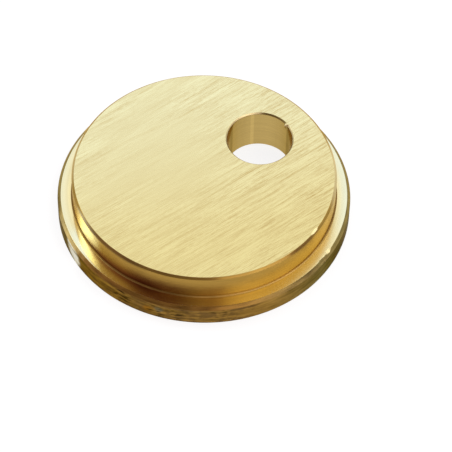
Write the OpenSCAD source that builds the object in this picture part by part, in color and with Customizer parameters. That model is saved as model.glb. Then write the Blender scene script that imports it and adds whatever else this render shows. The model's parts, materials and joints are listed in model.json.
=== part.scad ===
// Pasta extrusion die, turned from one piece of brass: a flange that sits in the
// machine's nose, a spigot that shows through the ring nut on the outlet side, and
// an off-centre bore that the dough is pressed through.
// Origin at the centre of the seat face, +Z towards the outlet, bore on the +X side.

/* [Flange] */
// Outside diameter of the flange that sits in the machine's nose
flange_d = 57; // [50:0.5:80]
// Height of the flange, from the seat face to the clamp ledge
flange_h = 4.5; // [3:0.1:8]
// Chamfer on the flange's upper rim
flange_chamfer = 0.6; // [0.2:0.1:1]
// Edge break round the seat face
seat_chamfer = 0.2; // [0.1:0.1:1]

/* [Spigot] */
// Width of the clamp ledge, from the spigot's side to the flange's outside
ledge_w = 2.9; // [2:0.1:6]
// Height of the spigot above the clamp ledge
spigot_h = 5.5; // [3:0.1:10]
// Chamfer round the outlet face
spigot_chamfer = 0.4; // [0.2:0.1:1]
// Fillet that the tool leaves in the corner between the spigot and the ledge
root_fillet = 0.3; // [0.1:0.05:0.6]

/* [Bore] */
// Diameter of the bore that shapes the dough
bore_d = 12.8; // [6:0.1:20]
// Brass left between the bore and the spigot's side
bore_wall = 5.2; // [3:0.1:10]
// Lead-in chamfer where the dough enters, at the seat face
inlet_chamfer = 0.8; // [0.2:0.1:1.5]
// Edge break where the dough leaves, at the outlet face
outlet_chamfer = 0.25; // [0.1:0.05:0.8]

/* [Hidden] */

// Segments in a full turn
$fn = 180;
// How far one shape runs into or past another where they join or cut
overrun = 1;

die_h = flange_h + spigot_h;
flange_r = flange_d / 2;
spigot_r = flange_r - ledge_w;
bore_r = bore_d / 2;
// Distance between the die's axis and the bore's axis
bore_offset = spigot_r - bore_wall - bore_r;

// Corner between the spigot's side and the ledge, rounded by the tool's nose
module root_section() {
    translate([spigot_r, flange_h])
        difference() {
            translate([-overrun, -overrun])
                square(overrun + root_fillet);
            translate([root_fillet, root_fillet])
                circle(root_fillet);
        }
}

// Half section of the turned disc, with the radius along X and the height along Y
module disc_section() {
    polygon([
        [0, 0],
        [flange_r - seat_chamfer, 0],
        [flange_r, seat_chamfer],
        [flange_r, flange_h - flange_chamfer],
        [flange_r - flange_chamfer, flange_h],
        [spigot_r, flange_h],
        [spigot_r, die_h - spigot_chamfer],
        [spigot_r - spigot_chamfer, die_h],
        [0, die_h]
    ]);
    root_section();
}

// Half section of the cut that opens the bore and breaks the edges at both its ends
module bore_section() {
    polygon([
        [0, -overrun],
        [bore_r + inlet_chamfer + overrun, -overrun],
        [bore_r, inlet_chamfer],
        [bore_r, die_h - outlet_chamfer],
        [bore_r + outlet_chamfer + overrun, die_h + overrun],
        [0, die_h + overrun]
    ]);
}

module die_plate() {
    color("#d9c47c")
        difference() {
            rotate_extrude()
                disc_section();
            translate([bore_offset, 0, 0])
                rotate_extrude()
                    bore_section();
        }
}

die_plate();
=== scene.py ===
"""Brass pasta extrusion die: one turned and drilled plate with its finishes, on a pale studio floor."""

import json
import math

import bmesh
import bpy
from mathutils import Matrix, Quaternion, Vector, noise


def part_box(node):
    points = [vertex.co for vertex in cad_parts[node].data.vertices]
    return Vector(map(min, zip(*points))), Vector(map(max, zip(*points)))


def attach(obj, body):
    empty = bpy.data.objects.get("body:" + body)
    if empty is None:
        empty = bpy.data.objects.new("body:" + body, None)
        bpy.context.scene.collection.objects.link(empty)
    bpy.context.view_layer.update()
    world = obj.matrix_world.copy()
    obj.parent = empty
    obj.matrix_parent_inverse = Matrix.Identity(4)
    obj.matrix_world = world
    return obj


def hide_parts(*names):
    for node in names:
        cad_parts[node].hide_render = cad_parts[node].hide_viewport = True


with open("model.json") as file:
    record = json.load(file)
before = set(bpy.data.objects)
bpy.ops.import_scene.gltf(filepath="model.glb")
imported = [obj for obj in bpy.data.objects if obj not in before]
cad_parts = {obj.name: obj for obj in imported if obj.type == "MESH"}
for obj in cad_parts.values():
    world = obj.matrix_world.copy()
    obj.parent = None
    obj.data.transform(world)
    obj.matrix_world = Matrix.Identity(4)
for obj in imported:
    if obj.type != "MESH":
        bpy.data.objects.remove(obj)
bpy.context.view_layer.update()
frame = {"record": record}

MOUNTS = {mount["name"]: mount for mount in frame["record"]["mounts"]}

bl_info = {
    "name": "Pasta extrusion die",
    "version": (1, 0, 0),
    "blender": (4, 5, 0),
    "location": "View3D > Sidebar > Pasta die",
    "description": "Turns a brass pasta die to size, finishes its faces and sets it in a small studio",
    "category": "Add Mesh",
}


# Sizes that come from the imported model


def wall_span(name):
    """Lowest and highest point of the straight wall that a mount stands for, in metres."""
    middle = MOUNTS[name]["pos_m"][2]
    half = MOUNTS[name]["dims"]["length_mm"] / 2000
    return middle - half, middle + half


def wall_radius(name):
    """Radius of the wall that a mount stands for, in metres."""
    return MOUNTS[name]["dims"]["r_mm"] / 1000


DIE_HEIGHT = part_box("die_plate")[1].z
LEDGE_HEIGHT = MOUNTS["clamp_ledge"]["pos_m"][2]
RIM_LOW, RIM_HIGH = wall_span("flange_rim")
SPIGOT_LOW, SPIGOT_HIGH = wall_span("spigot")
BORE_LOW, BORE_HIGH = wall_span("die_bore")


def turned_point(radius, azimuth, height):
    """A point at a radius, an azimuth in radians from +X, and a height."""
    return radius * math.cos(azimuth), radius * math.sin(azimuth), height


def rim_place(sizes, azimuth, height):
    """A point on the flange's outside, at an azimuth in degrees."""
    return turned_point(sizes.flange_radius, math.radians(azimuth), height)


# Marks of use, and places of painted light and shade: azimuths in degrees from +X, heights and reaches in
# metres

# Stains on the rim: kind, azimuth, height, reach
STAINS = (
    ("rust", -151.4, 0.0019, 0.0014),
    ("scale", -146.9, 0.0026, 0.0012),
    ("stain", -148.3, 0.0020, 0.0024),
    ("stain", -140.8, 0.0024, 0.0026),
    ("stain", -162.5, 0.0024, 0.0030),
    ("stain", -123.6, 0.0030, 0.0022),
    ("stain", -34.0, 0.0015, 0.0030),
    ("rust", 22.0, 0.0028, 0.0014),
    ("stain", 71.0, 0.0020, 0.0032),
    ("stain", 118.0, 0.0014, 0.0030),
)
# Painted highlights on the rim and the flange's chamfer: part, azimuth, height, reach, amount
PAINTED_HIGHLIGHTS = (
    ("rim", 167.5, 0.0029, 0.0026, 1.0),
    ("rim", 170.5, 0.0016, 0.0024, 1.0),
    ("edge", 163.0, 0.0042, 0.0075, 0.6),
    ("edge", 100.0, 0.0042, 0.0050, 0.4),
)
# Painted reflections on the sides of the spigot: azimuth, distance where the painted reflection starts,
# amount
PAINTED_SIDE_REFLECTIONS = (
    (-38.0, 0.0235, 0.9),
    (132.0, 0.0240, 0.5),
)
# Smoothest place on the outlet face, as x and y
SMOOTH_PLACE = (-0.0032, 0.0084)
# Azimuths that the other marks, and the painted light and shade, lie at
# Scratches on the outlet face, painted stronger on the side where the light shows them more
SCRATCHES_LIT_SIDE = -41.0
# Painted shade on the outlet face, towards the front
PAINTED_SHADE_FACE = -115.0
HANDLED_LEDGE = -95.0
# Painted pale reflection on the ledge, on the right
PAINTED_REFLECTION_LEDGE = -18.0
DULL_LEDGE = -60.0
# Painted highlight on the spigot's side, its root and the ledge beside it
PAINTED_HIGHLIGHT_SIDE = 169.0
# Painted dark reflection at the foot of the spigot's side
PAINTED_SHADE_SIDE = -170.0
# Painted dark reflections in the spigot's chamfer, on the right beside the knocked edge and on the left
PAINTED_SHADE_CHAMFER_RIGHT = -82.0
PAINTED_SHADE_CHAMFER_LEFT = -174.0
CLEAN_ROOT = -100.0
# Painted reflection of the dim front in the flange's chamfer
PAINTED_SHADE_FLANGE_EDGE = -150.0
# Painted reflections on the rim: warm at the front, darker at the front left and paler on the right
PAINTED_REFLECTION_RIM = -140.0
PAINTED_SHADE_RIM = -160.0
PAINTED_LIGHT_RIM = -88.0
# The same round the bore's own axis
# Painted light on the bore's far wall
PAINTED_LIGHT_BORE = 49.0
# Painted highlight line down the bore's wall
PAINTED_HIGHLIGHT_LINE = 62.2
DARK_LIP = 21.0


# Properties


def length(name, description, default):
    """A property for a length in metres."""
    return bpy.props.FloatProperty(
        name=name,
        description=description,
        default=default,
        min=0.0,
        precision=5,
        subtype="DISTANCE",
        unit="LENGTH",
    )


def angle(name, description, degrees):
    """A property for an angle, given in degrees and kept in radians."""
    return bpy.props.FloatProperty(
        name=name,
        description=description,
        default=math.radians(degrees),
        subtype="ANGLE",
        unit="ROTATION",
    )


def share(name, description, default, highest=1.0):
    """A property for a plain number from 0 up."""
    return bpy.props.FloatProperty(
        name=name,
        description=description,
        default=default,
        min=0.0,
        max=highest,
        subtype="FACTOR",
    )


def colour(name, description, default):
    """A property for a colour."""
    return bpy.props.FloatVectorProperty(
        name=name,
        description=description,
        default=default,
        min=0.0,
        max=1.0,
        size=3,
        subtype="COLOR",
    )


class DieSizes(bpy.types.PropertyGroup):
    """Sizes of the turned plate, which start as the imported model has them."""

    height: length("Height", "From the seat face to the outlet face", DIE_HEIGHT)
    flange_radius: length("Flange radius", "Widest radius of the plate", wall_radius("flange_rim"))
    ledge_height: length("Ledge height", "From the seat face to the clamp ledge", LEDGE_HEIGHT)
    seat_chamfer: length("Seat chamfer", "Edge break round the seat face", RIM_LOW)
    flange_chamfer: length("Flange chamfer", "Chamfer on the upper rim", LEDGE_HEIGHT - RIM_HIGH)
    spigot_radius: length("Spigot radius", "Radius of the raised step", wall_radius("spigot"))
    root_fillet: length("Root fillet", "Rounding at the spigot's foot", SPIGOT_LOW - LEDGE_HEIGHT)
    spigot_chamfer: length("Spigot chamfer", "Chamfer round the outlet face", DIE_HEIGHT - SPIGOT_HIGH)
    bore_radius: length("Bore radius", "Radius of the through hole", wall_radius("die_bore"))
    bore_offset: length("Bore offset", "From the die's axis to the bore's", MOUNTS["die_bore"]["pos_m"][0])
    inlet_chamfer: length("Inlet chamfer", "Chamfer of the bore at the seat face", BORE_LOW)
    outlet_chamfer: length("Outlet chamfer", "Edge break of the bore at the outlet", DIE_HEIGHT - BORE_HIGH)
    edge_round: length("Edge rounding", "Rounding left on each turned edge by handling", 0.00004)
    turn_steps: bpy.props.IntProperty(
        name="Steps round",
        description="Segments in a full turn of the plate",
        default=720,
        min=24,
        max=1440,
    )


class DieFinish(bpy.types.PropertyGroup):
    """Colours and grain of the die's faces, with the colours of the painted light and shade on them."""

    outlet: colour("Outlet face", "Brushed face on top", (0.95, 0.915, 0.57))
    # Painted shade: the outlet face's tone towards the front
    outlet_painted_shade: colour("Outlet face, warm side", "Its tone where it is most handled", (0.88, 0.76, 0.357))
    outlet_stroke: colour("Brush strokes", "Tone of the deepest brush strokes", (0.60, 0.44, 0.17))
    ledge: colour("Ledge", "Faced ledge near the spigot", (0.93, 0.80, 0.42))
    ledge_outer: colour("Outer ledge", "Faced ledge near the rim", (0.92, 0.87, 0.58))
    # Painted highlight and painted pale reflection on the ledge
    ledge_painted_light: colour("Pale ledge", "Faced ledge where it is least handled", (0.93, 0.94, 0.70))
    side: colour("Spigot's side", "Turned side and chamfer of the spigot", (0.40, 0.245, 0.055))
    # Painted highlight and painted reflections on the spigot's side
    side_painted_highlight: colour("Spigot's side, polished", "The side where it is wiped most", (0.72, 0.60, 0.32))
    # Painted dark reflection low on the spigot's side
    side_painted_shade: colour("Grime on the side", "Foot of the side where grime stays", (0.17, 0.060, 0.024))
    side_slant: colour("Side at a slant", "Its tone where it is seen at a slant", (0.92, 0.77, 0.54))
    root: colour("Root", "Grimy corner at the spigot's foot", (0.25, 0.14, 0.04))
    root_clean: colour("Clean root", "The same corner where it is wiped", (0.52, 0.32, 0.085))
    edge: colour("Flange's edge", "Chamfer on the flange's rim", (0.28, 0.21, 0.07))
    # Painted reflection of the dim front in the flange's chamfer
    edge_painted_shade: colour("Flange's edge, warm side", "The chamfer where it is most handled", (0.30, 0.16, 0.036))
    rim: colour("Rim", "Outside of the flange", (0.19, 0.155, 0.073))
    # Painted reflection on the rim towards the front
    rim_painted_reflection: colour("Rim, warm side", "Outside of the flange where it is most handled", (0.36, 0.205, 0.052))
    rim_slant: colour("Rim at a slant", "Its tone where it is seen at a slant", (0.42, 0.37, 0.23))
    # Also the painted dark reflections in the spigot's chamfer and the painted shade on the rim
    tarnish_and_shade: colour("Tarnish", "Darkest tone of the rim", (0.14, 0.080, 0.028))
    # Painted highlights on the rim and the flange's chamfer
    rubbed: colour("Rubbed rim", "Rim where it is rubbed bare", (0.97, 0.93, 0.78))
    edge_painted_highlight: colour("Rubbed edge", "The flange's chamfer where it is rubbed bare", (0.80, 0.62, 0.25))
    stain: colour("Stain", "Dark stains on the rim", (0.035, 0.022, 0.01))
    rust: colour("Rusty stain", "Orange stains on the rim", (0.25, 0.11, 0.014))
    scale: colour("Scale", "Grey specks on the rim", (0.17, 0.155, 0.10))
    bore: colour("Bore", "Wall of the bore", (0.50, 0.355, 0.12))
    bore_slant: colour("Bore at a slant", "Its tone where it is seen at a slant", (0.85, 0.70, 0.46))
    lip: colour("Lip", "Broken edge of the bore at the outlet face", (0.80, 0.66, 0.34))
    lip_dark: colour("Dark lip", "The same edge where residue stays", (0.31, 0.23, 0.075))
    seat: colour("Seat", "Faced seat underneath", (0.80, 0.63, 0.28))
    brush_angle: angle("Brush angle", "Direction of the brush strokes on the outlet face", -2.5)
    brush_bend: bpy.props.FloatProperty(
        name="Brush bend",
        description="How much the strokes curve, per metre",
        default=-0.4,
    )


class DieStage(bpy.types.PropertyGroup):
    """Camera, floor and lamps."""

    camera_azimuth: angle("Camera azimuth", "Round the die, from the front", -40.9)
    camera_elevation: angle("Camera elevation", "Above the floor", 51.78)
    camera_roll: angle("Camera roll", "Tilt of the picture", 1.436)
    camera_distance: length("Camera distance", "From the point looked at", 0.46725)
    camera_target: bpy.props.FloatVectorProperty(
        name="Camera target",
        description="Point that the camera looks at",
        default=(0.0, -0.00677, 0.0002),
        size=3,
        precision=5,
        subtype="XYZ",
        unit="LENGTH",
    )
    lens: bpy.props.FloatProperty(
        name="Lens",
        description="Focal length on a sensor 36 mm wide",
        default=191.15,
        min=1.0,
        unit="CAMERA",
    )
    floor: colour("Floor", "Colour of the floor", (0.24, 0.24, 0.24))
    floor_glow: share("Floor glow", "White that the floor shows besides what lights it", 0.85)
    backdrop: colour("Backdrop", "Light from behind the die", (0.79, 0.79, 0.79))
    room: colour("Room", "Light from the camera's side", (0.55, 0.42, 0.41))
    low_front: colour("Low front", "Light from below the camera", (0.33, 0.29, 0.26))
    dark_side: colour("Dark side", "Light from the unlit corner of the room", (0.17, 0.055, 0.085))
    key: share("Key light", "Brightness of the broad lamp behind the die", 0.17, 20.0)
    side: share("Side light", "Brightness of the narrow lamp behind on the left", 3.6, 20.0)
    side_tint: colour("Side light's tint", "Colour of the lamp behind on the left", (0.72, 0.86, 1.0))
    front: share("Front light", "Brightness of the low lamp on the front right", 1.0, 20.0)
    fill: share("Fill light", "Brightness of the broad lamp on the right", 0.95, 20.0)
    fill_tint: colour("Fill light's tint", "Colour of the lamp on the right", (0.86, 0.95, 1.0))


# Shader building


class Wire:
    """A socket's value in a node tree. Sums on it add Math nodes."""

    def __init__(self, shader, socket):
        self.shader = shader
        self.socket = socket

    def sum(self, operation, *values):
        return self.shader.node("ShaderNodeMath", {"operation": operation}, dict(enumerate(values)))

    def __add__(self, other):
        return self.sum("ADD", self, other)

    def __sub__(self, other):
        return self.sum("SUBTRACT", self, other)

    def __rsub__(self, other):
        return self.sum("SUBTRACT", other, self)

    def __mul__(self, other):
        return self.sum("MULTIPLY", self, other)

    def __truediv__(self, other):
        return self.sum("DIVIDE", self, other)

    def __pow__(self, other):
        return self.sum("POWER", self, other)

    __radd__ = __add__


class Shader:
    """A node tree, built one node at a time."""

    def __init__(self, owner):
        owner.use_nodes = True
        self.owner = owner
        self.tree = owner.node_tree
        self.tree.nodes.clear()

    def node(self, kind, settings=None, sockets=None, output=0):
        """Adds a node, applies its settings, then feeds its sockets with values or wires."""
        node = self.tree.nodes.new(kind)
        for name, value in (settings or {}).items():
            setattr(node, name, value)
        for key, value in (sockets or {}).items():
            socket = node.inputs[key]
            if isinstance(value, Wire):
                self.tree.links.new(value.socket, socket)
            elif socket.type == "RGBA":
                socket.default_value = (*value, 1.0)
            else:
                socket.default_value = value
        return Wire(self, node.outputs[output]) if node.outputs else None

    def place(self, centre=(0.0, 0.0, 0.0), turn=0.0):
        """Object coordinates measured from a centre and turned about the vertical."""
        here = self.node("ShaderNodeTexCoord", output="Object")
        return self.node(
            "ShaderNodeMapping",
            {"vector_type": "TEXTURE"},
            {"Vector": here, "Location": centre, "Rotation": (0.0, 0.0, turn)},
        )

    def split(self, vector):
        """The three numbers of a vector."""
        first = self.node("ShaderNodeSeparateXYZ", None, {0: vector})
        return [Wire(self, socket) for socket in first.socket.node.outputs]

    def point(self, x, y, z):
        """A vector from three numbers."""
        return self.node("ShaderNodeCombineXYZ", None, {0: x, 1: y, 2: z})

    def noise(self, vector, detail=2.0, roughness=0.5):
        """Cloudy noise about 0.5, with one cloud to each unit."""
        return self.node(
            "ShaderNodeTexNoise",
            {"noise_dimensions": "3D"},
            {"Vector": vector, "Scale": 1.0, "Detail": detail, "Roughness": roughness},
        )

    def ramp(self, value, start, end):
        """0 up to the start and 1 from the end on, with a soft rise between them."""
        return self.node(
            "ShaderNodeMapRange",
            {"interpolation_type": "SMOOTHSTEP"},
            {"Value": value, "From Min": start, "From Max": end},
        )

    def blend(self, factor, first, second):
        """A colour that goes from the first to the second as the factor goes from 0 to 1."""
        return self.node("ShaderNodeMix", {"data_type": "RGBA"}, {0: factor, 6: first, 7: second}, 2)

    def dim(self, tone, light):
        """A colour times a number."""
        settings = {"data_type": "RGBA", "blend_type": "MULTIPLY"}
        return self.node("ShaderNodeMix", settings, {0: 1.0, 6: tone, 7: light}, 2)

    def place_times(self, vector, factor):
        """A vector times a plain number."""
        return self.node("ShaderNodeVectorMath", {"operation": "SCALE"}, {0: vector, "Scale": factor})

    def warp(self, vector, frequency, reach):
        """A vector pushed about by noise, so that what it draws has ragged edges."""
        push = self.node("ShaderNodeTexNoise", None, {"Vector": vector, "Scale": frequency, "Detail": 2.0}, 1)
        centred = self.node("ShaderNodeVectorMath", {"operation": "SUBTRACT"}, {0: push, 1: (0.5, 0.5, 0.5)})
        pushed = self.place_times(centred, reach)
        return self.node("ShaderNodeVectorMath", {"operation": "ADD"}, {0: vector, 1: pushed})

    def measure(self, operation, first, second):
        """A number that comes from two vectors, such as the distance between them."""
        return self.node("ShaderNodeVectorMath", {"operation": operation}, {0: first, 1: second}, "Value")

    def lean(self, vector, azimuth, start, end):
        """0 to 1 over the die towards an azimuth in degrees, from one distance to another along it."""
        towards = turned_point(1.0, math.radians(azimuth), 0.0)
        return self.ramp(self.measure("DOT_PRODUCT", vector, towards), start, end)

    def spot(self, vector, centre, radius):
        """1 round a centre and 0 from the radius on."""
        core = 0.35 * radius
        return self.ramp(self.measure("DISTANCE", vector, centre), radius, core)

    def metal(self, base, roughness, marks, depth, slant=(1.0, 1.0, 1.0), drawn=0.0):
        """Ends the tree in bare metal.

        The marks are tool marks of that depth in metres, the slant is the tone at a slant, and drawn is how
        far the lines round the axis draw reflections out across themselves.
        """
        quarter_turn = 0.25
        bump = self.node("ShaderNodeBump", None, {"Height": marks, "Distance": depth})
        sockets = {
            "Base Color": base,
            "Metallic": 1.0,
            "Roughness": roughness,
            "Specular Tint": slant,
            "Anisotropic": drawn,
            "Anisotropic Rotation": quarter_turn,
            "Normal": bump,
        }
        surface = self.node("ShaderNodeBsdfPrincipled", None, sockets)
        self.node("ShaderNodeOutputMaterial", None, {"Surface": surface})
        return self.owner


# Finishes, in the order of the mesh's material slots

FINISHES = ("outlet", "ledge", "side", "root", "edge", "rim", "bore", "lip", "seat")


def streaks(shader, along, across, length, width, layer, detail=2.0):
    """Noise drawn out into streaks of that length and width in metres."""
    return shader.noise(shader.point(along / length, across / width, layer), detail)


def turned_lines(shader, x, y, step, reach, pitch, layer=0.0, detail=2.0):
    """Noise in lines round the axis: they change over the reach and repeat about every pitch of step."""
    return shader.noise(shader.point(x / reach, y / reach, step / pitch + layer), detail)


def brushed_outlet(finish, sizes):
    """Straight brush strokes, coarse and fine, smoother in one place, with scratches painted stronger where
    the light shows them and painted shade towards the front.
    """
    shader = Shader(bpy.data.materials.new("brass_brushed_outlet"))
    here = shader.place()
    along, across, _ = shader.split(shader.place(turn=finish.brush_angle))
    across = across + along * along * finish.brush_bend
    patches = streaks(shader, along, across, 0.016, 0.0035, 0.0)
    strokes = streaks(shader, along, across, 0.010, 0.0006, 3.0, 3.0)
    hairs = streaks(shader, along, across, 0.005, 0.00014, 7.0)
    deep = streaks(shader, along, across, 0.016, 0.00030, 11.0)
    grain = streaks(shader, along, across, 0.0010, 0.00020, 15.0)
    pressure = shader.ramp(streaks(shader, along, across, 0.012, 0.0045, 19.0, 1.0), 0.30, 0.70)
    # The light shows the scratches more on one side: there they are painted deeper
    scratched_and_lit = shader.lean(here, SCRATCHES_LIT_SIDE, -0.012, 0.020)
    smooth = shader.spot(here, (*SMOOTH_PLACE, sizes.height), 0.017)
    scratches = shader.ramp(deep, 0.58, 0.74) * scratched_and_lit
    fine = (strokes - 0.5) * 0.58 + (hairs - 0.5) * (0.45 + scratched_and_lit * 0.30) + (grain - 0.5) * 0.38
    strength = (0.50 + pressure * 0.70 + scratched_and_lit * 0.65) * (1.0 - smooth * 0.65)
    depth = 0.25 - (patches - 0.5) * 0.36 - fine * strength * 1.8 + scratches * 0.45
    # Painted shade towards the front
    tone = shader.blend(shader.lean(here, PAINTED_SHADE_FACE, -0.022, 0.022), finish.outlet, finish.outlet_painted_shade)
    roughness = 0.27 + (strokes - 0.5) * 0.2 + (hairs - 0.5) * 0.16
    marks = strokes * 0.5 + hairs * 0.5 - scratches * 0.4
    return shader.metal(shader.blend(depth, tone, finish.outlet_stroke), roughness, marks, 0.000015)


def faced_ledge(finish, sizes):
    """Fine rings left by the facing tool, paler towards the rim, with a painted highlight and a painted pale
    reflection.
    """
    shader = Shader(bpy.data.materials.new("brass_faced_ledge"))
    here = shader.place()
    x, y, _ = shader.split(here)
    radius = (x * x + y * y) ** 0.5
    rings = turned_lines(shader, x, y, radius, 0.03, 0.00022)
    clouds = turned_lines(shader, x, y, radius, 0.008, 0.003)
    outwards = shader.ramp(radius, sizes.spigot_radius, sizes.flange_radius - sizes.flange_chamfer)
    handled = shader.lean(here, HANDLED_LEDGE, 0.019, 0.026)
    tone = shader.blend(outwards * (1.0 - handled * 0.8), finish.ledge, finish.ledge_outer)
    # Painted pale reflection on the right
    pale = shader.lean(here, PAINTED_REFLECTION_LEDGE, 0.018, 0.026)
    tone = shader.blend(pale * outwards, tone, finish.ledge_painted_light)
    # Painted highlight where the spigot's side has its painted highlight
    highlight_place = turned_point(sizes.spigot_radius, math.radians(PAINTED_HIGHLIGHT_SIDE), sizes.ledge_height)
    tone = shader.blend(shader.spot(here, highlight_place, 0.0050), tone, finish.ledge_painted_light)
    light = 1.0 + (rings - 0.5) * 0.22 + (clouds - 0.5) * 0.18
    roughness = 0.06 + clouds * 0.06 + shader.lean(here, DULL_LEDGE, 0.013, 0.026) * 0.11
    return shader.metal(shader.dim(tone, light), roughness, rings, 0.000002, drawn=0.6)


def turned_side(finish, sizes):
    """Fine lines round the spigot's wall and its chamfer, with a painted highlight, painted reflections and
    painted dark reflections.
    """
    shader = Shader(bpy.data.materials.new("brass_turned_side"))
    here = shader.place()
    x, y, z = shader.split(here)
    lines = turned_lines(shader, x, y, z, 0.03, 0.00022)
    clouds = turned_lines(shader, x, y, z, 0.006, 0.0025)
    light = 1.0 + (lines - 0.5) * 0.35 + (clouds - 0.5) * 0.35
    # Painted highlight and painted reflections round the side
    wiped = shader.lean(here, PAINTED_HIGHLIGHT_SIDE, 0.0250, sizes.spigot_radius)
    for azimuth, start, amount in PAINTED_SIDE_REFLECTIONS:
        wiped = wiped + shader.lean(here, azimuth, start, sizes.spigot_radius) * amount
    tone = shader.blend(wiped, finish.side, finish.side_painted_highlight)
    # Painted dark reflection low on the side, towards the front left
    low = shader.ramp(z, sizes.ledge_height + 0.0030, sizes.ledge_height + 0.0008)
    grime = low * shader.lean(here, PAINTED_SHADE_SIDE, 0.0228, 0.0252)
    tone = shader.blend(grime, tone, finish.side_painted_shade)
    # Painted dark reflections in the chamfer, on the right and on the left
    worn_place = turned_point(sizes.spigot_radius, math.radians(PAINTED_SHADE_CHAMFER_RIGHT), sizes.height)
    painted_light_and_shade = shader.spot(shader.warp(here, 900.0, 0.002), worn_place, 0.0042)
    upper = shader.ramp(z, sizes.height - 0.0010, sizes.height - 0.0005)
    dark = shader.lean(here, PAINTED_SHADE_CHAMFER_LEFT, 0.0235, 0.0252)
    base = shader.dim(shader.blend((painted_light_and_shade * 0.5 + dark * 0.65) * upper, tone, finish.tarnish_and_shade), light)
    return shader.metal(base, 0.17 + clouds * 0.10, lines, 0.000004, finish.side_slant, 0.85)


def grimy_root(finish):
    """Dull corner where the cloth doesn't reach."""
    shader = Shader(bpy.data.materials.new("brass_grimy_root"))
    here = shader.place()
    x, y, z = shader.split(here)
    clouds = turned_lines(shader, x, y, z, 0.004, 0.001, detail=3.0)
    # The root takes the side's colour where the side has its painted highlight
    tone = shader.blend(shader.lean(here, PAINTED_HIGHLIGHT_SIDE, 0.0248, 0.0258), finish.root, finish.side)
    tone = shader.blend(shader.lean(here, CLEAN_ROOT, 0.018, 0.025), tone, finish.root_clean)
    light = 1.0 + (clouds - 0.5) * 0.9
    return shader.metal(shader.dim(tone, light), 0.30 + clouds * 0.2, clouds, 0.00001, finish.side_slant)


def paint_highlights(shader, sizes, part, base, bare, place, grain):
    """The base colour of a part, with painted highlights at its listed places."""
    for name, azimuth, height, reach, amount in PAINTED_HIGHLIGHTS:
        if name == part:
            # Each listed place is a painted highlight
            rubbed = shader.spot(place, rim_place(sizes, azimuth, height), reach)
            base = shader.blend(rubbed * (grain * 2.0 + 0.1) * amount, base, bare)
    return base


def handled_edge(finish, sizes):
    """The flange's chamfer: turned lines and smears, with a painted reflection of the dim front and painted
    highlights.
    """
    shader = Shader(bpy.data.materials.new("brass_handled_edge"))
    here = shader.place()
    x, y, z = shader.split(here)
    lines = turned_lines(shader, x, y, z, 0.012, 0.00020, detail=3.0)
    smears = turned_lines(shader, x, y, z, 0.0035, 0.0006, layer=5.0, detail=3.0)
    # Painted reflection of the dim front
    tone = shader.blend(shader.lean(here, PAINTED_SHADE_FLANGE_EDGE, 0.010, 0.026), finish.edge, finish.edge_painted_shade)
    tone = paint_highlights(shader, sizes, "edge", tone, finish.edge_painted_highlight, shader.warp(here, 900.0, 0.004), lines)
    light = 1.0 + (lines - 0.5) * 1.0 + (smears - 0.5) * 1.4
    return shader.metal(shader.dim(tone, light), 0.20 + smears * 0.2, lines, 0.000004, finish.side_slant, 0.6)


def handled_rim(finish, sizes):
    """Dull turned lines with tarnished mottles, painted highlights, painted reflections at the front and on
    the right, and a few stains.
    """
    shader = Shader(bpy.data.materials.new("brass_handled_rim"))
    here = shader.place()
    x, y, z = shader.split(here)
    lines = turned_lines(shader, x, y, z, 0.009, 0.0005)
    smears = turned_lines(shader, x, y, z, 0.0035, 0.0006, layer=5.0, detail=3.0)
    flecks = shader.ramp(turned_lines(shader, x, y, z, 0.0022, 0.00042, layer=9.0), 0.50, 0.64)
    mottle = shader.noise(shader.place_times(here, 750.0), 5.0, 0.6)
    soft = shader.warp(here, 700.0, 0.0015)
    # Painted reflections: warm at the front, darker at the front left, paler on the right
    tone = shader.blend(shader.lean(here, PAINTED_REFLECTION_RIM, 0.012, 0.027), finish.rim, finish.rim_painted_reflection)
    front_shade = shader.lean(here, PAINTED_SHADE_RIM, 0.0235, 0.0285)
    bare = shader.lean(here, PAINTED_LIGHT_RIM, 0.0262, 0.0275)
    tarnished = shader.ramp(mottle * 0.4 + smears * 0.6 + front_shade * 0.03, 0.40, 0.62) * (1.0 - bare * 0.8)
    base = shader.blend(tarnished, tone, finish.tarnish_and_shade)
    base = paint_highlights(shader, sizes, "rim", base, finish.rubbed, soft, smears)
    for kind, azimuth, height, reach in STAINS:
        place = rim_place(sizes, azimuth, height)
        strength = flecks * 0.9 if kind == "stain" else 0.7
        base = shader.blend(shader.spot(soft, place, reach) * strength, base, getattr(finish, kind))
    light = 1.0 + (lines - 0.5) * 1.6 + (smears - 0.5) * 1.2 + (mottle - 0.5) * 0.7 - flecks * 0.12
    marks = lines * 0.5 + mottle * 0.5
    return shader.metal(shader.dim(base, light), 0.28 + mottle * 0.24, marks, 0.000015, finish.rim_slant)


def reamed_bore(finish, sizes):
    """Smooth wall with faint rings, painted light on its far side and a painted highlight line down it."""
    shader = Shader(bpy.data.materials.new("brass_reamed_bore"))
    here = shader.place(centre=(sizes.bore_offset, 0.0, 0.0))
    x, y, z = shader.split(here)
    bands = shader.noise(shader.point(x / 0.0016, y / 0.0016, z / 0.05))
    rings = turned_lines(shader, x, y, z, 0.01, 0.0003)
    # A painted highlight line down the wall
    highlight_line_place = turned_point(sizes.bore_radius, math.radians(PAINTED_HIGHLIGHT_LINE), 0.0)
    line = shader.spot(shader.point(x, y, 0.0), highlight_line_place, 0.0005)
    # Painted light on the wall's far side, brightest in a band about its middle
    polished = shader.lean(here, PAINTED_LIGHT_BORE, 0.54 * sizes.bore_radius, 0.58 * sizes.bore_radius)
    facing_light = shader.lean(here, PAINTED_LIGHT_BORE, 0.5 * sizes.bore_radius, sizes.bore_radius)
    painted_light_and_shade = 0.54 + polished * 0.30 + facing_light * 0.18
    light = painted_light_and_shade + (bands - 0.5) * 0.2 + (rings - 0.5) * 0.26 + line * 0.16
    base = shader.dim(finish.bore, light)
    return shader.metal(base, 0.13 + bands * 0.08, rings, 0.000004, finish.bore_slant)


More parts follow.
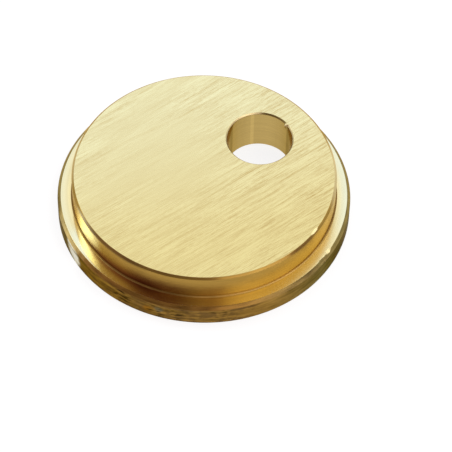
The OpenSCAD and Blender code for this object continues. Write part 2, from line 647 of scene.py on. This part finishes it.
def broken_lip(finish, sizes):
    """The bore's edge at the outlet face, broken by hand, with dark residue on one side."""
    shader = Shader(bpy.data.materials.new("brass_broken_lip"))
    here = shader.place(centre=(sizes.bore_offset, 0.0, 0.0))
    clouds = shader.noise(shader.place_times(here, 1500.0), 3.0)
    dark = shader.lean(here, DARK_LIP, 0.88 * sizes.bore_radius, 0.97 * sizes.bore_radius)
    dark = dark * shader.lean(here, DARK_LIP, 1.3 * sizes.bore_radius, 1.1 * sizes.bore_radius)
    tone = shader.blend(dark, finish.lip, finish.lip_dark)
    light = 1.0 + (clouds - 0.5) * 0.3
    return shader.metal(shader.dim(tone, light), 0.24 + clouds * 0.2, clouds, 0.00001)


def faced_seat(finish):
    """Plain facing rings on the hidden side."""
    shader = Shader(bpy.data.materials.new("brass_faced_seat"))
    x, y, _ = shader.split(shader.place())
    radius = (x * x + y * y) ** 0.5
    rings = turned_lines(shader, x, y, radius, 0.05, 0.00036, detail=3.0)
    clouds = turned_lines(shader, x, y, radius, 0.011, 0.005, detail=3.0)
    light = 1.0 + (rings - 0.5) * 0.5 + (clouds - 0.5) * 0.5
    return shader.metal(shader.dim(finish.seat, light), 0.22 + clouds * 0.14, rings, 0.00002)


# Mesh building

# Lengths closer than this count as the same, in metres
SAME_LENGTH = 1e-6
# Corners closer than this are merged, in metres
SAME_CORNER = 1e-7


def spin_wall(bm, outline, axis_x, steps):
    """Turns an open outline of radius and height round the upright axis at axis_x."""
    verts = [bm.verts.new((axis_x + radius, 0.0, height)) for radius, height in outline]
    edges = [bm.edges.new(pair) for pair in zip(verts, verts[1:])]
    bmesh.ops.spin(
        bm,
        geom=verts + edges,
        cent=(axis_x, 0.0, 0.0),
        axis=(0.0, 0.0, 1.0),
        angle=math.tau,
        steps=steps,
        use_merge=True,
    )


def ring(bm, axis_x, radius, height):
    """Edges of the ring of that radius and height round the upright axis at axis_x."""

    def on_ring(vert):
        away = math.hypot(vert.co.x - axis_x, vert.co.y)
        return abs(away - radius) < SAME_LENGTH and abs(vert.co.z - height) < SAME_LENGTH

    edges = [edge for edge in bm.edges if all(on_ring(vert) for vert in edge.verts)]
    if not edges:
        raise RuntimeError(f"no ring of edges at radius {radius} and height {height}")
    return edges


def break_edge(bm, edges, width, segments):
    """Chamfers or rounds a ring of edges."""
    bmesh.ops.bevel(
        bm,
        geom=edges,
        offset=width,
        offset_type="OFFSET",
        affect="EDGES",
        segments=segments,
        profile=0.5,
        material=-1,
    )


def turn_blank(bm, sizes):
    """The stepped plate with its bore, sharp-edged."""
    flange, spigot, bore = sizes.flange_radius, sizes.spigot_radius, sizes.bore_radius
    ledge, top, offset = sizes.ledge_height, sizes.height, sizes.bore_offset
    # The bore stands proud until it is bridged, because rims in one plane may pair up the wrong way round
    proud = 0.001
    # Narrow lands beside the edges keep dents in them from tilting the long faces
    land = 0.0014
    disc = [
        (flange, 0.0),
        (flange, ledge - land),
        (flange, ledge),
        (flange - land, ledge),
        (spigot, ledge),
        (spigot, top - land),
        (spigot, top),
        (spigot - land, top),
    ]
    hole = [(bore, -proud), (bore, top - land), (bore, top + proud), (bore + land, top + proud)]
    spin_wall(bm, disc, 0.0, sizes.turn_steps)
    spin_wall(bm, hole, offset, sizes.turn_steps)
    for outer, inner, height, lift in ((flange, bore, 0.0, -proud), (spigot - land, bore + land, top, proud)):
        rims = ring(bm, offset, inner, height + lift) + ring(bm, 0.0, outer, height)
        bmesh.ops.bridge_loops(bm, edges=rims)
        lifted = [vert for vert in bm.verts if abs(vert.co.z - height - lift) < SAME_LENGTH]
        bmesh.ops.translate(bm, verts=lifted, vec=(0.0, 0.0, -lift))
    bmesh.ops.remove_doubles(bm, verts=bm.verts, dist=SAME_CORNER)
    bmesh.ops.recalc_face_normals(bm, faces=bm.faces)


def break_edges(bm, sizes):
    """Chamfers, the fillet at the spigot's foot, and a touch of rounding on every edge left."""
    flange, spigot, bore = sizes.flange_radius, sizes.spigot_radius, sizes.bore_radius
    ledge, top, offset = sizes.ledge_height, sizes.height, sizes.bore_offset
    break_edge(bm, ring(bm, 0.0, flange, 0.0), sizes.seat_chamfer, 1)
    break_edge(bm, ring(bm, 0.0, flange, ledge), sizes.flange_chamfer, 1)
    break_edge(bm, ring(bm, 0.0, spigot, ledge), sizes.root_fillet, 6)
    break_edge(bm, ring(bm, 0.0, spigot, top), sizes.spigot_chamfer, 1)
    break_edge(bm, ring(bm, offset, bore, 0.0), sizes.inlet_chamfer, 1)
    break_edge(bm, ring(bm, offset, bore, top), sizes.outlet_chamfer, 1)
    sharp = math.radians(20)
    left = [edge for edge in bm.edges if edge.calc_face_angle(0.0) > sharp]
    break_edge(bm, left, sizes.edge_round, 3)
    bmesh.ops.recalc_face_normals(bm, faces=bm.faces)


def straighten_shading(bm):
    """Shades smoothly, but keeps flats, walls and chamfers straight up to the roundings between them."""
    # Upward part of the normal of a wall, a chamfer and a flat, and how near to it a face has to be
    slopes = (0.0, math.sqrt(0.5), 1.0)
    near = 0.002

    def is_straight(face):
        return min(abs(abs(face.normal.z) - slope) for slope in slopes) < near

    straight = {face for face in bm.faces if is_straight(face)}
    for face in bm.faces:
        face.smooth = True
    for edge in bm.edges:
        edge.smooth = len({face in straight for face in edge.link_faces}) == 1


def ragged(vert):
    """Noise from -1 to 1 in grains of 0.4 mm, for a knock's outline."""
    return noise.noise(vert.co * 2500.0)


def facet(moved, finish):
    """Shades the faces at the moved corners flat, and gives those that moved as a whole a finish."""
    for face in {face for vert in moved for face in vert.link_faces}:
        face.smooth = False
        if all(vert in moved for vert in face.verts):
            face.material_index = FINISHES.index(finish)


class Mark:
    """A place on a turned edge, with the directions out, round and up there."""

    def __init__(self, axis_x, azimuth, radius, height):
        self.out = Vector(turned_point(1.0, math.radians(azimuth), 0.0))
        self.round = Vector((-self.out.y, self.out.x, 0.0))
        self.up = Vector((0.0, 0.0, 1.0))
        self.middle = Vector((axis_x, 0.0, height)) + self.out * radius

    def away(self, vert, reach_round, reach_across):
        """Distance from the middle, as a share of the reach."""
        apart = vert.co - self.middle
        across = math.hypot(apart.dot(self.out), apart.z)
        return math.hypot(apart.dot(self.round) / reach_round, across / reach_across)

    def refine(self, bm, reach_round, reach_across):
        """Cuts the faces round the mark small, and gives the corners there."""
        small = 0.0001
        margin = 1.8

        def is_near(vert):
            return self.away(vert, reach_round, reach_across) < margin

        def is_coarse(edge):
            return edge.calc_length() > small and all(is_near(vert) for vert in edge.verts)

        for cuts in (3, 2):
            coarse = [edge for edge in bm.edges if is_coarse(edge)]
            bmesh.ops.subdivide_edges(bm, edges=coarse, cuts=cuts, use_grid_fill=True)
        # Faces with more than four corners have some in a row, and leave slivers unless they are split well
        crowded = [face for face in bm.faces if len(face.verts) > 4]
        bmesh.ops.triangulate(bm, faces=crowded, ngon_method="BEAUTY")
        return [vert for vert in bm.verts if is_near(vert)]

    def grind(self, bm, tilt, depth, reach, finish):
        """Takes the edge down to a small flat that leans outwards by the tilt in degrees."""
        lean = math.radians(tilt)
        way = self.out * math.sin(lean) + self.up * math.cos(lean)
        moved = set()
        for vert in self.refine(bm, reach, 0.5 * reach):
            apart = vert.co - self.middle
            rise = (apart.dot(self.round) / reach) ** 2 + 0.3 * ragged(vert)
            over = apart.dot(way) + depth * (1.0 - rise)
            if over > 0.0:
                vert.co -= way * over
                moved.add(vert)
        facet(moved, finish)

    def push(self, bm, way, reach, finish):
        """Pushes metal along a way out and up, most in the middle."""
        shift = self.out * way[0] + self.up * way[1]
        moved = set()
        for vert in self.refine(bm, reach, reach):
            share_away = self.away(vert, reach, reach) + 0.2 * ragged(vert)
            if share_away < 1.0:
                vert.co += shift * (1.0 - max(0.0, share_away) ** 2) ** 2
                moved.add(vert)
        facet(moved, finish)


def knock_about(bm, sizes):
    """The knocks of use: on the flange's edge, on the spigot's and on the bore's lip."""
    flange_edge = sizes.flange_radius - sizes.flange_chamfer
    spigot_edge = sizes.spigot_radius - sizes.spigot_chamfer
    first = Mark(0.0, -71.1, flange_edge, sizes.ledge_height)
    first.grind(bm, tilt=20.0, depth=0.00013, reach=0.0011, finish="lip")
    second = Mark(0.0, -76.3, flange_edge, sizes.ledge_height)
    second.grind(bm, tilt=40.0, depth=0.00013, reach=0.0015, finish="edge")
    third = Mark(0.0, -73.5, spigot_edge, sizes.height)
    third.grind(bm, tilt=22.0, depth=0.00010, reach=0.0014, finish="lip")
    burr = Mark(sizes.bore_offset, -4.7, sizes.bore_radius, sizes.height - 0.0001)
    burr.push(bm, way=(-0.00045, 0.0), reach=0.0005, finish="lip")


def finish_of(face, sizes):
    """Which finish a face has, by where it is and which way it looks."""
    middle = face.calc_center_median()
    in_bore = math.hypot(middle.x - sizes.bore_offset, middle.y) < sizes.bore_radius + sizes.inlet_chamfer
    foot = sizes.ledge_height + sizes.root_fillet
    at_foot = middle.xy.length < sizes.spigot_radius + sizes.root_fillet
    level = 0.998
    if face.normal.z > level:
        return "outlet" if middle.z > foot else "ledge"
    if face.normal.z < -level:
        return "seat"
    if in_bore:
        return "lip" if middle.z > sizes.height - sizes.outlet_chamfer else "bore"
    if middle.z < sizes.ledge_height - sizes.flange_chamfer:
        return "rim"
    if middle.z > foot:
        return "side"
    return "root" if at_foot else "edge"


def make_piece(name, bm, materials):
    """A mesh object at the origin from a finished bmesh, which is freed."""
    mesh = bpy.data.meshes.new(name)
    bm.to_mesh(mesh)
    bm.free()
    for material in materials:
        mesh.materials.append(material)
    piece = bpy.data.objects.new(name, mesh)
    bpy.context.scene.collection.objects.link(piece)
    return piece


class TurnPlate(bpy.types.Operator):
    """Turn, drill and finish the brass plate"""

    bl_idname = "pasta_die.turn_plate"
    bl_label = "Turn plate"

    def execute(self, context):
        sizes = context.scene.pasta_die_sizes
        finish = context.scene.pasta_die_finish
        bm = bmesh.new()
        turn_blank(bm, sizes)
        break_edges(bm, sizes)
        straighten_shading(bm)
        for face in bm.faces:
            face.material_index = FINISHES.index(finish_of(face, sizes))
        knock_about(bm, sizes)
        materials = {
            "outlet": brushed_outlet(finish, sizes),
            "ledge": faced_ledge(finish, sizes),
            "side": turned_side(finish, sizes),
            "root": grimy_root(finish),
            "edge": handled_edge(finish, sizes),
            "rim": handled_rim(finish, sizes),
            "bore": reamed_bore(finish, sizes),
            "lip": broken_lip(finish, sizes),
            "seat": faced_seat(finish),
        }
        plate = make_piece("die_plate_brass", bm, [materials[name] for name in FINISHES])
        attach(plate, "root")
        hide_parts("die_plate")
        return {"FINISHED"}


# Studio


def facing(azimuth, elevation):
    """Direction from the die to a place round it, with azimuth 0 at the front and 90 degrees on the right."""
    level = math.cos(elevation)
    return Vector((math.sin(azimuth) * level, -math.cos(azimuth) * level, math.sin(elevation)))


def lay_floor(stage):
    """A pale floor that stays white where the die doesn't shade it."""
    # A hair below the seat, so that the two don't share a plane
    below = 0.00002
    bm = bmesh.new()
    bmesh.ops.create_circle(bm, cap_ends=True, segments=96, radius=2.0)
    bmesh.ops.translate(bm, verts=bm.verts, vec=(0.0, 0.0, -below))
    shader = Shader(bpy.data.materials.new("floor_pale"))
    rays = ("Is Camera Ray", "Is Glossy Ray", "Is Transmission Ray")
    straight, mirrored, through = [shader.node("ShaderNodeLightPath", output=ray) for ray in rays]
    matt = shader.node("ShaderNodeBsdfDiffuse", None, {"Color": stage.floor})
    glow = shader.node("ShaderNodeEmission", None, {"Color": (1.0, 1.0, 1.0), "Strength": stage.floor_glow})
    lit = shader.node("ShaderNodeAddShader", None, {0: matt, 1: glow})
    shown = straight.sum("MAXIMUM", straight, mirrored.sum("MAXIMUM", mirrored, through))
    surface = shader.node("ShaderNodeMixShader", None, {0: shown, 1: matt, 2: lit})
    shader.node("ShaderNodeOutputMaterial", None, {"Surface": surface})
    floor = make_piece("floor", bm, [shader.owner])


def hang_lamp(stage, name, bearing, elevation, width, height, brightness, tint=(1.0, 1.0, 1.0)):
    """A soft lamp of a width and height in metres, placed by its bearing from the camera in degrees."""
    distance = 0.6
    lamp = bpy.data.lights.new(name, "AREA")
    lamp.shape = "RECTANGLE"
    lamp.size = width
    lamp.size_y = height
    lamp.energy = brightness * math.pi * width * height
    lamp.color = tint
    holder = bpy.data.objects.new(name, lamp)
    towards = facing(stage.camera_azimuth + math.radians(bearing), math.radians(elevation))
    holder.location = towards * distance
    holder.rotation_mode = "QUATERNION"
    holder.rotation_quaternion = towards.to_track_quat("Z", "Y")
    holder.visible_camera = False
    bpy.context.scene.collection.objects.link(holder)


def light_room(stage):
    """Pale behind the die, dimmer on the camera's side, with one unlit corner."""
    world = bpy.data.worlds.new("studio_room")
    shader = Shader(world)
    here = shader.node("ShaderNodeTexCoord", output="Generated")

    def towards(bearing, elevation):
        way = facing(stage.camera_azimuth + math.radians(bearing), math.radians(elevation))
        return shader.measure("DOT_PRODUCT", here, way)

    light = shader.blend(shader.ramp(towards(180.0, 0.0), -0.35, 0.3), stage.room, stage.backdrop)
    light = shader.blend(shader.ramp(towards(-25.0, 22.0), 0.75, 0.97), light, stage.low_front)
    light = shader.blend(shader.ramp(towards(-40.0, 57.0), 0.93, 0.99), light, stage.dark_side)
    glow = shader.node("ShaderNodeBackground", None, {"Color": light, "Strength": 1.0})
    shader.node("ShaderNodeOutputWorld", None, {"Surface": glow})
    bpy.context.scene.world = world


def set_camera(stage):
    """The camera, at the photograph's angle."""
    lens = bpy.data.cameras.new("camera")
    lens.sensor_width = 36.0
    lens.lens = stage.lens
    lens.clip_start = 0.01
    camera = bpy.data.objects.new("camera", lens)
    back = facing(stage.camera_azimuth, stage.camera_elevation)
    camera.location = Vector(stage.camera_target) + back * stage.camera_distance
    camera.rotation_mode = "QUATERNION"
    level = back.to_track_quat("Z", "Y")
    camera.rotation_quaternion = level @ Quaternion((0.0, 0.0, 1.0), stage.camera_roll)
    bpy.context.scene.collection.objects.link(camera)
    bpy.context.scene.camera = camera


class SetStage(bpy.types.Operator):
    """Lay the floor, hang the lamps and place the camera"""

    bl_idname = "pasta_die.set_stage"
    bl_label = "Set stage"

    def execute(self, context):
        stage = context.scene.pasta_die_stage
        context.scene.view_settings.view_transform = "Standard"
        lay_floor(stage)
        light_room(stage)
        hang_lamp(stage, "key_lamp", 180.0, 53.0, 0.6, 0.6, stage.key)
        hang_lamp(stage, "side_lamp", -121.5, 51.0, 0.13, 0.28, stage.side, stage.side_tint)
        hang_lamp(stage, "front_lamp", 41.0, 34.0, 0.52, 0.22, stage.front)
        hang_lamp(stage, "fill_lamp", 82.0, 56.0, 0.8, 0.36, stage.fill, stage.fill_tint)
        set_camera(stage)
        return {"FINISHED"}


class DiePanel(bpy.types.Panel):
    """Sizes, finishes and stage of the die"""

    bl_idname = "PASTA_DIE_PT_panel"
    bl_label = "Pasta die"
    bl_space_type = "VIEW_3D"
    bl_region_type = "UI"
    bl_category = "Pasta die"

    def draw(self, context):
        groups = (
            (context.scene.pasta_die_sizes, None),
            (context.scene.pasta_die_finish, TurnPlate.bl_idname),
            (context.scene.pasta_die_stage, SetStage.bl_idname),
        )
        for group, operator in groups:
            box = self.layout.box()
            for name in group.__annotations__:
                box.prop(group, name)
            if operator:
                box.operator(operator)


CLASSES = (DieSizes, DieFinish, DieStage, TurnPlate, SetStage, DiePanel)


def register():
    for cls in CLASSES:
        bpy.utils.register_class(cls)
    bpy.types.Scene.pasta_die_sizes = bpy.props.PointerProperty(type=DieSizes)
    bpy.types.Scene.pasta_die_finish = bpy.props.PointerProperty(type=DieFinish)
    bpy.types.Scene.pasta_die_stage = bpy.props.PointerProperty(type=DieStage)


def unregister():
    del bpy.types.Scene.pasta_die_stage
    del bpy.types.Scene.pasta_die_finish
    del bpy.types.Scene.pasta_die_sizes
    for cls in reversed(CLASSES):
        bpy.utils.unregister_class(cls)


def main():
    register()
    bpy.ops.pasta_die.turn_plate()
    bpy.ops.pasta_die.set_stage()


if __name__ == "__main__":
    main()
